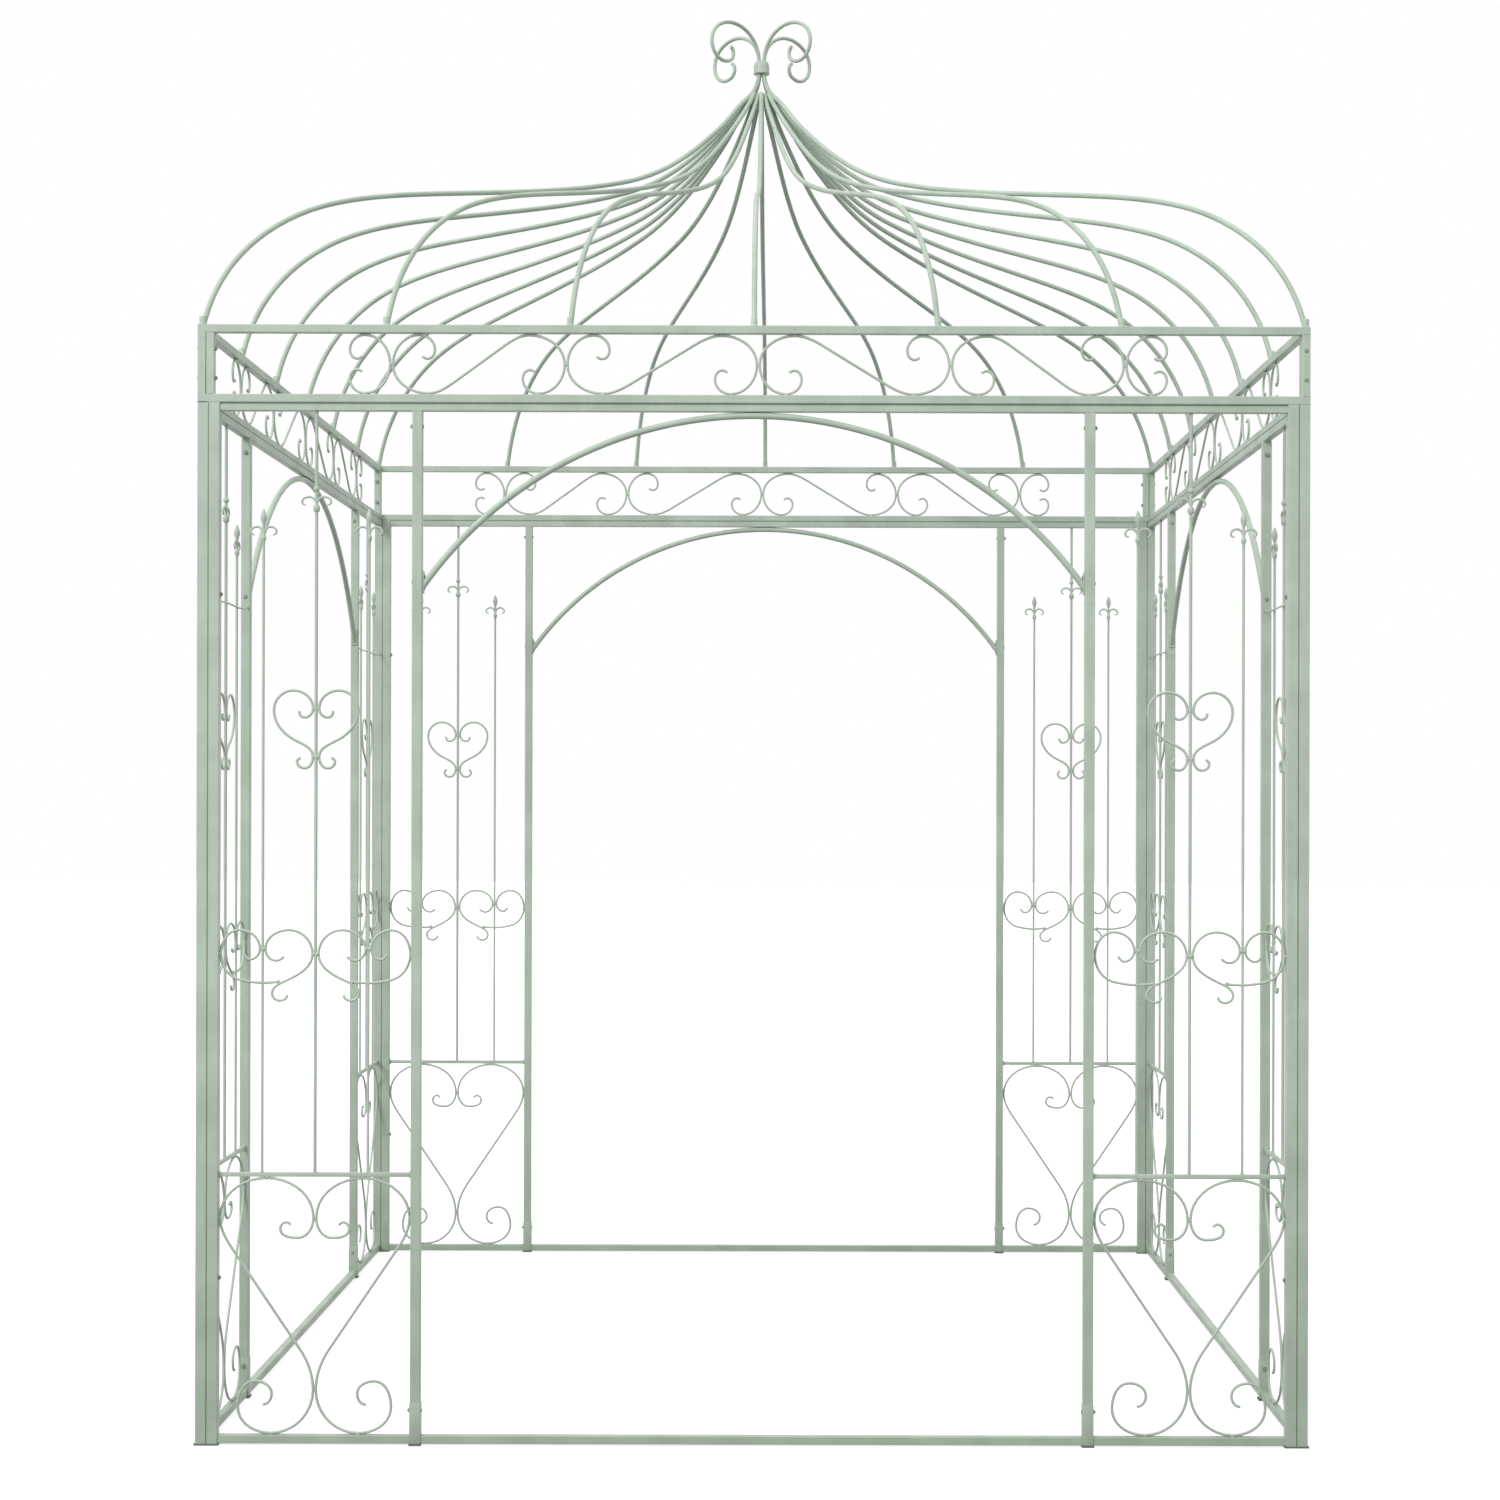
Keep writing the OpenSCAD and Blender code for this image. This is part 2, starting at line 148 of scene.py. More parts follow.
# %% Sky and lamps
def studio_sky(side, top):
    """White for the camera. side and top are what the sky sheds from the horizon and the zenith."""
    world = bpy.data.worlds.new("studio_sky")
    bpy.context.scene.world = world
    world.use_nodes = True
    tree = world.node_tree
    tree.nodes.clear()
    ray = add(tree, "ShaderNodeLightPath")
    gloss = add(tree, "ShaderNodeMath", {0: ray.outputs["Is Camera Ray"], 1: ray.outputs["Is Glossy Ray"]},
                operation="MAXIMUM")
    seen = add(tree, "ShaderNodeMath", {0: gloss.outputs[0], 1: ray.outputs["Is Transmission Ray"]},
               operation="MAXIMUM")
    way = add(tree, "ShaderNodeTexCoord").outputs["Generated"]
    up = add(tree, "ShaderNodeSeparateXYZ", {0: way}).outputs["Z"]
    shed = add(tree, "ShaderNodeMapRange", {"Value": up, "To Min": side, "To Max": top})
    level = add(tree, "ShaderNodeMapRange", {"Value": seen.outputs[0], "To Min": shed.outputs[0],
                                            "To Max": 1.0})
    sky = add(tree, "ShaderNodeBackground", {"Color": (1, 1, 1, 1), "Strength": level.outputs[0]})
    add(tree, "ShaderNodeOutputWorld", {"Surface": sky.outputs[0]})


def softbox(name, place, aim, size, watts):
    """A square lamp at place, turned to aim. Places and size are in metres."""
    lamp = bpy.data.lights.new(name, "AREA")
    lamp.shape = "SQUARE"
    lamp.size = size
    lamp.energy = watts
    stand = bpy.data.objects.new(name, lamp)
    stand.location = place
    stand.rotation_euler = (Vector(aim) - Vector(place)).to_track_quat("-Z", "Y").to_euler()
    bpy.context.collection.objects.link(stand)
    print(name, watts, "W")


studio_sky(0.74, 1.15)
softbox("key_softbox", (-7.9, -9.7, 9.2), (0, 0, 1.2), 5.4, 1050)
softbox("fill_softbox", (9.4, -9.7, 7.0), (0, 0, 1.0), 5.4, 90)
bpy.context.scene.view_settings.view_transform = "Standard"

# %% [markdown]
# ## Finishes
# The gazebo is mild steel with a powder coat in pale sage green: a dielectric skin over the
# metal, so metallic stays 0 and the index of refraction 1.5. Sprayed powder melts into a satin
# coat with a faint orange peel of 2 to 3 mm, drawn here as a bump of a fiftieth of a millimetre.
# Outdoors the coat goes uneven: broad patches a hand wide and thin streaks where rain runs down. On top of
# that the colour is painted darker towards the ground, as painted shade for the lower tubes, which get less
# light. All of it reads Object coordinates, so patches run on from one tube to the next.

# %% Powder coat
def repeats(mm):
    """The Scale of a pattern whose features are mm wide."""
    return 1000.0/mm


def powder_coat(name, high, low, streak, dark=0.86):
    """A powder coat: high is its colour from 0.9 m up, low its colour near the ground, darkened there as
    painted shade, streak that of rain traces, and dark how far the patches take it down."""
    finish = bpy.data.materials.new(name)
    finish.use_nodes = True
    tree = finish.node_tree
    shader = tree.nodes["Principled BSDF"]
    where = add(tree, "ShaderNodeTexCoord").outputs["Object"]
    height = add(tree, "ShaderNodeSeparateXYZ", {0: where}).outputs["Z"]
    # Patches a hand wide, eleven to the metre
    patch = add(tree, "ShaderNodeTexNoise", {"Vector": where, "Scale": repeats(90.9), "Detail": 3.0,
                                            "Roughness": 0.6})
    # Streaks 12.5 mm wide and a fifth of a metre long
    run = add(tree, "ShaderNodeMapping", {"Vector": where,
                                         "Scale": (repeats(12.5), repeats(12.5), repeats(200))})
    rain = add(tree, "ShaderNodeTexNoise", {"Vector": run.outputs[0], "Scale": 1.0, "Detail": 2.0})
    # Orange peel, from crest to crest
    peel = add(tree, "ShaderNodeTexNoise", {"Vector": where, "Scale": repeats(2.5), "Detail": 1.0})
    # Painted shade: the colour runs from low near the ground to high at 0.9 m, darker below where less
    # light reaches
    rise = add(tree, "ShaderNodeMapRange", {"Value": height, "From Min": -0.1, "From Max": 0.9},
               interpolation_type="SMOOTHSTEP")
    shade_by_height = add(tree, "ShaderNodeMix", {0: rise.outputs[0], 6: linear(low), 7: linear(high)},
               data_type="RGBA")
    patches = add(tree, "ShaderNodeMapRange", {"Value": patch.outputs[0], "From Min": 0.35,
                                              "From Max": 0.7, "To Min": 1.04, "To Max": dark})
    mottled = add(tree, "ShaderNodeMix", {0: 1.0, 6: shade_by_height.outputs[2], 7: patches.outputs[0]},
                  data_type="RGBA", blend_type="MULTIPLY")
    trace = add(tree, "ShaderNodeMapRange", {"Value": rain.outputs[0], "From Min": 0.5, "From Max": 0.75,
                                            "To Min": 0.0, "To Max": 0.28})
    streaked = add(tree, "ShaderNodeMix", {0: trace.outputs[0], 6: mottled.outputs[2],
                                          7: linear(streak)}, data_type="RGBA")
    satin = add(tree, "ShaderNodeMapRange", {"Value": patch.outputs[0], "To Min": 0.38, "To Max": 0.6})
    relief = add(tree, "ShaderNodeBump", {"Strength": 0.5, "Distance": 0.00002, "Height": peel.outputs[0]})
    tree.links.new(streaked.outputs[2], shader.inputs["Base Color"])
    tree.links.new(satin.outputs[0], shader.inputs["Roughness"])
    tree.links.new(relief.outputs[0], shader.inputs["Normal"])
    shader.inputs["Metallic"].default_value = 0.0
    shader.inputs["IOR"].default_value = 1.5
    return finish


# The third colour of each coat is its painted shade near the ground
tube_paint = powder_coat("powder_coated_steel_tube_sage", "#B3C3B3", "#A2B1A0", "#A2B2A1")
rod_paint = powder_coat("powder_coated_steel_rod_sage", "#B4C2B3", "#ABB9AA", "#A0AE9F", dark=0.92)
print("paints:", tube_paint.name, rod_paint.name)

# %% [markdown]
# The foot plates are bare galvanised steel gone dull: a rough grey metal with a blotchy bloom.
# The bolts are zinc plated and weathered in the same way, but finer grained. Both are metals, so
# they keep the default index of refraction, but the chalky bloom over them isn't metal, so
# metallic is low. The bloom shows as changes in tint and roughness.

# %% Dull zinc
def dull_zinc(name, colour, bloom, grain_mm):
    """Weathered zinc: grain_mm is the width of one spot of its bloom."""
    finish = bpy.data.materials.new(name)
    finish.use_nodes = True
    tree = finish.node_tree
    shader = tree.nodes["Principled BSDF"]
    where = add(tree, "ShaderNodeTexCoord").outputs["Object"]
    spots = add(tree, "ShaderNodeTexVoronoi", {"Vector": where, "Scale": repeats(grain_mm)})
    # The bloom drifts over three or so of its spots
    cloud = add(tree, "ShaderNodeTexNoise", {"Vector": where, "Scale": 0.3*repeats(grain_mm),
                                            "Detail": 3.0})
    both = add(tree, "ShaderNodeMath", {0: spots.outputs["Distance"], 1: cloud.outputs[0]},
               operation="MULTIPLY")
    tint = add(tree, "ShaderNodeMix", {0: both.outputs[0], 6: linear(colour), 7: linear(bloom)},
               data_type="RGBA")
    rough = add(tree, "ShaderNodeMapRange", {"Value": cloud.outputs[0], "To Min": 0.45, "To Max": 0.75})
    relief = add(tree, "ShaderNodeBump", {"Strength": 0.4, "Distance": 0.0001, "Height": both.outputs[0]})
    tree.links.new(tint.outputs[2], shader.inputs["Base Color"])
    tree.links.new(rough.outputs[0], shader.inputs["Roughness"])
    tree.links.new(relief.outputs[0], shader.inputs["Normal"])
    shader.inputs["Metallic"].default_value = 0.3
    return finish


foot_zinc = dull_zinc("galvanised_foot_plate_dulled", "#5A665B", "#78847A", 3.0)
bolt_zinc = dull_zinc("zinc_plated_bolt_weathered", "#7E8B7C", "#A3AF9E", 1.5)
print("zinc:", foot_zinc.name, bolt_zinc.name)

# %% [markdown]
# ## Paint on the tubes
# Posts, rails, frieze frames and foot plates are already right in the CAD model: square
# tube with rounded edges. Each one only gets its finish in its material slots.

# %% Paint the CAD tubes
WALLS = ["front", "right", "back", "left"]


def coat(node, finish):
    """Puts one finish in every material slot of a CAD node."""
    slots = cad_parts[node].data.materials
    if not slots:
        slots.append(finish)
    for i in range(len(slots)):
        slots[i] = finish


for wall in WALLS:
    for part in ("corner_posts", "door_posts", "rails", "frieze_frame"):
        coat(f"{wall}_{part}", tube_paint)
coat("post_feet", foot_zinc)
print("painted the tubes of the walls:", WALLS)

# %% [markdown]
# ## Trees that make rods, beads and bolts
# A bent rod is a path with a round section, so a Geometry Nodes tree sweeps a circle along each
# spline. The radius is stored on the spline's points, so one tree serves thick rods, thin rods
# and tapered arms. A helper makes an empty tree with named inputs, and another one runs trees
# on an object and hands back a plain mesh, because an exported model has no modifiers.

# %% Helpers for trees
def new_tree(name, inputs):
    """An empty tree with a Geometry input, the named inputs, and an output."""
    tree = bpy.data.node_groups.new(name, "GeometryNodeTree")
    tree.interface.new_socket("Geometry", in_out="INPUT", socket_type="NodeSocketGeometry")
    for label, kind, value in inputs:
        socket = tree.interface.new_socket(label, in_out="INPUT", socket_type=kind)
        if value is not None:
            socket.default_value = value
    tree.interface.new_socket("Geometry", in_out="OUTPUT", socket_type="NodeSocketGeometry")
    return tree, tree.nodes.new("NodeGroupInput").outputs


def close_tree(tree, geometry, finish):
    """Every tree ends in real geometry with its material on it."""
    real = add(tree, "GeometryNodeRealizeInstances", {"Geometry": geometry})
    painted = add(tree, "GeometryNodeSetMaterial", {"Geometry": real.outputs[0], "Material": finish})
    add(tree, "NodeGroupOutput", {0: painted.outputs[0]})


def run_trees(source, *steps):
    """Runs (tree, {input name: value}) steps on an object and returns the mesh they make."""
    for tree, values in steps:
        step = source.modifiers.new(tree.name, "NODES")
        step.node_group = tree
        for item in tree.interface.items_tree:
            if item.in_out == "INPUT" and item.name in values:
                step[item.identifier] = values[item.name]
    seen = source.evaluated_get(bpy.context.evaluated_depsgraph_get())
    mesh = bpy.data.meshes.new_from_object(seen)
    bpy.data.objects.remove(source)
    return mesh


# %% Tree: rods along splines
def rod_tree():
    tree, given = new_tree("rods_along_splines", [
        ("Sides", "NodeSocketInt", 10), ("Steps per bend", "NodeSocketInt", 10),
        ("Finish", "NodeSocketMaterial", None)])
    smooth = add(tree, "GeometryNodeSetSplineResolution",
                 {"Geometry": given["Geometry"], "Resolution": given["Steps per bend"]})
    section = add(tree, "GeometryNodeCurvePrimitiveCircle", {"Resolution": given["Sides"], "Radius": 1.0})
    half = add(tree, "GeometryNodeInputRadius")
    swept = add(tree, "GeometryNodeCurveToMesh", {
        "Curve": smooth.outputs[0], "Profile Curve": section.outputs[0],
        "Scale": half.outputs[0], "Fill Caps": True})
    close_tree(tree, swept.outputs[0], given["Finish"])
    return tree


RODS = rod_tree()

# %% [markdown]
# Where a scroll touches a rail the welder leaves a small lump. A second tree puts one bead on
# each point of a mesh and varies its size and flatness from a fixed seed. The beads are rough
# balls of a few dozen faces, since there are hundreds of them.

# %% Tree: weld beads on points
def bead_tree():
    tree, given = new_tree("weld_beads_on_points", [
        ("Bead radius", "NodeSocketFloat", 0.003), ("Seed", "NodeSocketInt", 7),
        ("Finish", "NodeSocketMaterial", None)])
    ball = add(tree, "GeometryNodeMeshUVSphere", {"Segments": 8, "Rings": 6, "Radius": 1.0})
    size = add(tree, "FunctionNodeRandomValue", {2: 0.8, 3: 1.25, 8: given["Seed"]}, data_type="FLOAT")
    squash = add(tree, "FunctionNodeRandomValue", {2: 0.7, 3: 1.0, 8: given["Seed"]}, data_type="FLOAT")
    wide = add(tree, "ShaderNodeMath", {0: size.outputs[1], 1: given["Bead radius"]}, operation="MULTIPLY")
    flat = add(tree, "ShaderNodeMath", {0: wide.outputs[0], 1: squash.outputs[1]}, operation="MULTIPLY")
    shape = add(tree, "ShaderNodeCombineXYZ", {0: wide.outputs[0], 1: flat.outputs[0], 2: wide.outputs[0]})
    beads = add(tree, "GeometryNodeInstanceOnPoints",
                {"Points": given["Geometry"], "Instance": ball.outputs[0], "Scale": shape.outputs[0]})
    close_tree(tree, beads.outputs[0], given["Finish"])
    return tree


BEADS = bead_tree()

# %% [markdown]
# A bolt is a washer, a head and, on a nut, the end of the thread. Each point carries the
# direction that its bolt looks in, and the tree turns the bolt to it. Six sides and hardly any
# taper make a nut; sixteen sides and a strong taper make the low dome of a coach bolt.

# %% Tree: bolts on points
def bolt_tree():
    tree, given = new_tree("bolts_on_points", [
        ("Sides", "NodeSocketInt", 6), ("Head radius", "NodeSocketFloat", 0.0058),
        ("Head height", "NodeSocketFloat", 0.004), ("Crown radius", "NodeSocketFloat", 0.0052),
        ("Washer radius", "NodeSocketFloat", 0.007), ("Washer thickness", "NodeSocketFloat", 0.001),
        ("Thread radius", "NodeSocketFloat", 0.003), ("Thread end", "NodeSocketFloat", 0.006),
        ("Finish", "NodeSocketMaterial", None)])
    washer = add(tree, "GeometryNodeMeshCone", {
        "Vertices": 16, "Radius Top": given["Washer radius"],
        "Radius Bottom": given["Washer radius"], "Depth": given["Washer thickness"]})
    head = add(tree, "GeometryNodeMeshCone", {
        "Vertices": given["Sides"], "Radius Top": given["Crown radius"],
        "Radius Bottom": given["Head radius"], "Depth": given["Head height"]})
    seat = add(tree, "ShaderNodeCombineXYZ", {2: given["Washer thickness"]})
    lifted = add(tree, "GeometryNodeTransform",
                 {"Geometry": head.outputs[0], "Translation": seat.outputs[0]})
    thread = add(tree, "GeometryNodeMeshCone", {
        "Vertices": 10, "Radius Top": given["Thread radius"],
        "Radius Bottom": given["Thread radius"], "Depth": given["Thread end"]})
    bolt = add(tree, "GeometryNodeJoinGeometry")
    for piece in (washer, lifted, thread):
        tree.links.new(piece.outputs[0], bolt.inputs[0])
    out = add(tree, "GeometryNodeInputNamedAttribute", {"Name": "out"}, data_type="FLOAT_VECTOR")
    turn = add(tree, "FunctionNodeAlignRotationToVector", {"Vector": out.outputs["Attribute"]}, axis="Z")
    bolts = add(tree, "GeometryNodeInstanceOnPoints", {
        "Points": given["Geometry"], "Instance": bolt.outputs[0], "Rotation": turn.outputs[0]})
    close_tree(tree, bolts.outputs[0], given["Finish"])
    return tree


BOLTS = bolt_tree()

# %% [markdown]
# The roof is the same on every side, so the ribs of one side are drawn once and a fourth tree
# repeats them round the plan in equal turns.

# %% Tree: repeat round the plan
def turns_tree():
    tree, given = new_tree("equal_turns_round_the_plan", [
        ("Turns", "NodeSocketInt", 4), ("Finish", "NodeSocketMaterial", None)])
    spots = add(tree, "GeometryNodePoints", {"Count": given["Turns"]})
    step = add(tree, "ShaderNodeMath", {0: math.tau, 1: given["Turns"]}, operation="DIVIDE")
    index = add(tree, "GeometryNodeInputIndex")
    angle = add(tree, "ShaderNodeMath", {0: index.outputs[0], 1: step.outputs[0]}, operation="MULTIPLY")
    spin = add(tree, "ShaderNodeCombineXYZ", {2: angle.outputs[0]})
    turned_copies = add(tree, "GeometryNodeInstanceOnPoints", {
        "Points": spots.outputs[0], "Instance": given["Geometry"], "Rotation": spin.outputs[0]})
    close_tree(tree, turned_copies.outputs[0], given["Finish"])
    return tree


TURNS = turns_tree()
print("trees:", [tree.name for tree in (RODS, BEADS, BOLTS, TURNS)])

# %% [markdown]
# ## Bent rods as touch points
# A smith bends a scroll against a template that it touches in a few places. Each scroll here is
# written that way: a list of touch points (across, up, heading), in millimetres and degrees. A
# Bezier spline leaves and meets each point along its heading, and the length of its handles is
# the one that comes nearest to a circular arc.

# %% From touch points to splines
def reach(swing):
    """Handle length, as a share of the chord, of the Bezier curve nearest to an arc."""
    half = math.radians(swing)/2
    return 1/3 if swing < 1 else 2/3*math.tan(half/2)/math.sin(half)


def lay_rod(curve, touches, radius, place=None, mirrored=False):
    """Adds one rod in the XZ plane. radius is in mm, one number or one for each point."""
    place = place or Matrix.Identity(4)
    side = -1 if mirrored else 1
    spots = [Vector((side*x, 0, z))*MM for x, z, _ in touches]
    ways = [Vector((side*math.cos(math.radians(a)), 0, math.sin(math.radians(a)))) for _, _, a in touches]
    radii = radius if isinstance(radius, (list, tuple)) else [radius]*len(touches)
    spline = curve.splines.new("BEZIER")
    spline.bezier_points.add(len(touches) - 1)
    pulls = [0.0]
    for i in range(len(touches) - 1):
        swing = abs((touches[i + 1][2] - touches[i][2] + 180) % 360 - 180)
        pulls.append(reach(swing)*(spots[i + 1] - spots[i]).length)
    pulls.append(0.0)
    for i, point in enumerate(spline.bezier_points):
        point.handle_left_type = point.handle_right_type = "FREE"
        point.co = place @ spots[i]
        point.handle_left = place @ (spots[i] - ways[i]*pulls[i])
        point.handle_right = place @ (spots[i] + ways[i]*pulls[i + 1])
        point.radius = radii[i]*MM


def rod_curve(name):
    """An empty curve object that rods are laid on."""
    curve = bpy.data.curves.new(name, "CURVE")
    curve.dimensions = "3D"
    bench = bpy.data.objects.new(name, curve)
    bpy.context.collection.objects.link(bench)
    return bench


def points_object(name, spots, outs=None):
    """A mesh of loose points in metres. outs is each one's way out of the surface it lies on."""
    mesh = bpy.data.meshes.new(name)
    mesh.from_pydata([tuple(p) for p in spots], [], [])
    if outs:
        way = mesh.attributes.new("out", "FLOAT_VECTOR", "POINT")
        way.data.foreach_set("vector", [c for out in outs for c in out])
    bench = bpy.data.objects.new(name, mesh)
    bpy.context.collection.objects.link(bench)
    return bench


# %% [markdown]
# Balls, rings and spear points are turned on a lathe: a profile of (radius, height) pairs spun
# round the upright axis. Crossbars, tabs and sleeves are plates with eased edges.

# %% Turned parts, plates and finished pieces
def turned(profile, sides=14):
    """A closed mesh turned about Z from (radius, height) pairs in mm, bottom first."""
    shape = bmesh.new()
    rings = []
    for radius, height in profile:
        count = sides if radius else 1
        rings.append([shape.verts.new((radius*MM*math.cos(math.tau*i/sides),
                                       radius*MM*math.sin(math.tau*i/sides), height*MM))
                      for i in range(count)])
    for below, above in zip(rings, rings[1:]):
        for i in range(sides):
            j = (i + 1) % sides
            ring = [below[i % len(below)], below[j % len(below)]]
            ring += [above[j % len(above)], above[i % len(above)]]
            # At a pole two of the four corners are the same point, and the face is a triangle
            corners = list(dict.fromkeys(ring))
            if len(corners) > 2:
                shape.faces.new(corners)
    mesh = bpy.data.meshes.new("turned")
    shape.to_mesh(mesh)
    shape.free()
    return mesh


def plate(wide, deep, tall, edge):
    """A bar or plate round the origin with rounded edges. Sizes in mm."""
    shape = bmesh.new()
    bmesh.ops.create_cube(shape, size=1.0, matrix=Matrix.Diagonal((wide*MM, deep*MM, tall*MM, 1)))
    bmesh.ops.bevel(shape, geom=shape.edges[:], offset=edge*MM, segments=2, affect="EDGES", profile=0.5)
    mesh = bpy.data.meshes.new("plate")
    shape.to_mesh(mesh)
    shape.free()
    return mesh


def move(x=0, y=0, z=0):
    """A shift in mm."""
    return Matrix.Translation((x*MM, y*MM, z*MM))


def gather(name, parts, finish, slot, *nodes, place=None):
    """Joins (mesh, matrix) parts into one piece that rides on the frame."""
    shape = bmesh.new()
    for mesh, spot in parts:
        copy = mesh.copy()
        copy.transform((place or Matrix.Identity(4)) @ spot)
        shape.from_mesh(copy)
        bpy.data.meshes.remove(copy)
    for face in shape.faces:
        face.smooth = True
        face.material_index = 0
    mesh = bpy.data.meshes.new(name)
    shape.to_mesh(mesh)
    shape.free()
    mesh.materials.append(finish)
    # Edges that turn more than this stay crisp
    mesh.set_sharp_from_angle(angle=math.radians(38))
    piece = bpy.data.objects.new(name, mesh)
    bpy.context.collection.objects.link(piece)
    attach(piece, "root")
    if nodes:
        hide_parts(*nodes)
    print(name, "faces:", len(mesh.polygons))


# %% [markdown]
# ## Where things are
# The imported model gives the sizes: how wide a panel is, where its top and bottom rails are, and
# how far the walls stand from the middle. A wall is drawn once, flat, along X, and a matrix
# turns and shifts it to its side of the square plan.

# %% Sizes from the model
# wall_y and the two middles are in metres, for the matrices, and all the rest is in mm
low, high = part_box("front_left_panel")
panel_half = round((high.x - low.x)/2/MM, 2)
sill_top, rail_under = round(low.z/MM, 2), round(high.z/MM, 2)
wall_y = (low.y + high.y)/2
inset_mid = abs(low.x + high.x)/2
low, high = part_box("right_left_panel")
full_mid = abs(low.y + high.y)/2
print("panel half width", panel_half, "from", sill_top, "to", rail_under, "middles", inset_mid, full_mid)

low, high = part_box("front_frieze_frame")
half_plan, eaves = round(high.x/MM, 2), high.z/MM
frieze_tube, frieze_tall = round((high.y - low.y)/MM, 2), round((high.z - low.z)/MM, 2)
low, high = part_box("front_corner_posts")
corner_post = round((high.y - low.y)/MM, 2)
low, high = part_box("front_door_posts")
door_post = round((high.y - low.y)/MM, 2)
print("half the plan", half_plan, "frieze", frieze_tall, "high, tubes", frieze_tube, corner_post, door_post)


def wall_place(turns):
    """From a wall drawn flat along X to its side of the plan, in quarter turns from the front."""
    return Matrix.Rotation(math.radians(90*turns), 4, "Z") @ Matrix.Translation((0, wall_y, 0))


def panel_place(turns, side):
    """The same for a panel, left (-1) or right (1) of the doorway."""
    mid = full_mid if turns % 2 else inset_mid
    return wall_place(turns) @ Matrix.Translation((side*mid, 0, 0))


# %% [markdown]
# ## Scroll panels
# Eight panels close the walls beside the doorways. Each has a flat crossbar at knee height, one
# centre rod up to the top rail, two side rods that end in spear points, a heart, a row of
# scrolls, and a pair of long S scrolls that meet below the crossbar. Every rod is round, 5 or
# 6 mm thick, and only the small arms are thinner and taper. The right half is written down, and
# the left half is its mirror.

# %% Touch points of a panel
rod_radius, centre_rod_radius = 2.5, 3.0
crossbar_z, crossbar_tall, crossbar_deep = 486, 8, 6
lower_top = crossbar_z - crossbar_tall/2
lower_mid = lower_top - 74
heart_z = rail_under - 580
row_z = (crossbar_z + heart_z)/2
fleur_z = rail_under - 165
spear_z = rail_under - 175
side_x = panel_half*0.55
# Where the row's scrolls and the heart touch the centre rod and the side rod, on either side of it
near, far, over = centre_rod_radius + rod_radius, side_x - 2*rod_radius, side_x + 2*rod_radius
# The long scroll runs straight and slanting between these two points, and sits on the sill
slant_top = (panel_half - 32, lower_top - 141)
slant_foot = (26, sill_top + 153)
slope = math.degrees(math.atan2(slant_foot[1] - slant_top[1], slant_foot[0] - slant_top[0]))
sill_touch = 79

long_scroll = [
    (43, lower_mid - 13, 45), (51, lower_mid - 8, 0), (62, lower_mid - 20, -90),
    (31, lower_mid - 36, 180), (rod_radius, lower_mid, 90),
    (panel_half/2, lower_top - rod_radius, 0), (panel_half - rod_radius, lower_mid, -90),
    (*slant_top, slope), (*slant_foot, slope),
    (rod_radius, sill_top + 80, -90), (sill_touch, sill_top + rod_radius, 0), (138, sill_top + 50, 90),
    (107, sill_top + 96, 180), (77, sill_top + 73, -90), (93, sill_top + 54, 0)]
inner_row_scroll = [
    (far - 33, row_z - 5, -50), (far - 19, row_z - 12, 0), (far, row_z + 9, 90),
    ((near + far)/2, row_z + 43, 180), (near, row_z, -90), (far - 33, row_z - 50, -25),
    (far - 12, row_z - 71, -90), (far - 26, row_z - 84, 180), (far - 39, row_z - 74, 90)]
outer_row_scroll = [
    (over + 29, row_z - 1, -130), (over + 18, row_z - 10, 180), (over, row_z + 9, 90),
    ((over + panel_half)/2, row_z + 43, 0), (panel_half - rod_radius, row_z, -90),
    (panel_half - 38, row_z - 47, -168), (side_x + 2, row_z - 52, 180), (side_x - 30, row_z - 50, 172)]
heart_side = [
    (30, heart_z + 40, -80), (21, heart_z + 29, 180), (near, heart_z + 45, 90),
    (41, heart_z + 77.5, 0), (76, heart_z + 42, -90), (45, heart_z - 8, -148),
    (near, heart_z - 42, -90), (21, heart_z - 62.5, 0), (34, heart_z - 51, 90), (28, heart_z - 44, 160)]


def arm(out, z):
    """A small arm that leaves a rod, turns out and down, and curls in at its tip."""
    return [(1, z - 8, 80), (0.56*out, z + 3, -4), (out, z - 6, -90), (out - 6.5, z - 11.5, 175)]


ARM_RADII = [2.2, 2.2, 2.0, 1.3]


# %% [markdown]
# Spear points, balls and collars are small castings threaded on the rods, so they are turned
# parts, with a spear's tip at height 0. The arms beside them are rods that taper to the tip.

# %% Castings on the rods
ball_radius, ball_steps = 5.6, 8
around = [math.pi*i/ball_steps for i in range(1, ball_steps)]
ball = turned([(0, -ball_radius)] + [(ball_radius*math.sin(a), -ball_radius*math.cos(a)) for a in around]
              + [(0, ball_radius)])
collar = turned([(0, -6), (4.4, -6), (5.8, -4), (6.2, 0), (5.8, 4), (4.4, 6), (0, 6)])
spear = turned([
    (0, -68), (2.6, -67), (2.7, -60), (4.5, -57), (4.9, -54), (4.5, -51), (2.8, -48), (2.6, -40),
    (2.4, -31), (3.4, -27), (5.4, -20), (5.9, -16), (4.9, -11), (3.0, -5.5), (1.3, -1.2), (0, 0)])
crossbar = plate(2*panel_half + 1, crossbar_deep, crossbar_tall, 0.8)
print("castings: ball, collar and spear point; crossbar", round(2*panel_half + 1), "mm long")

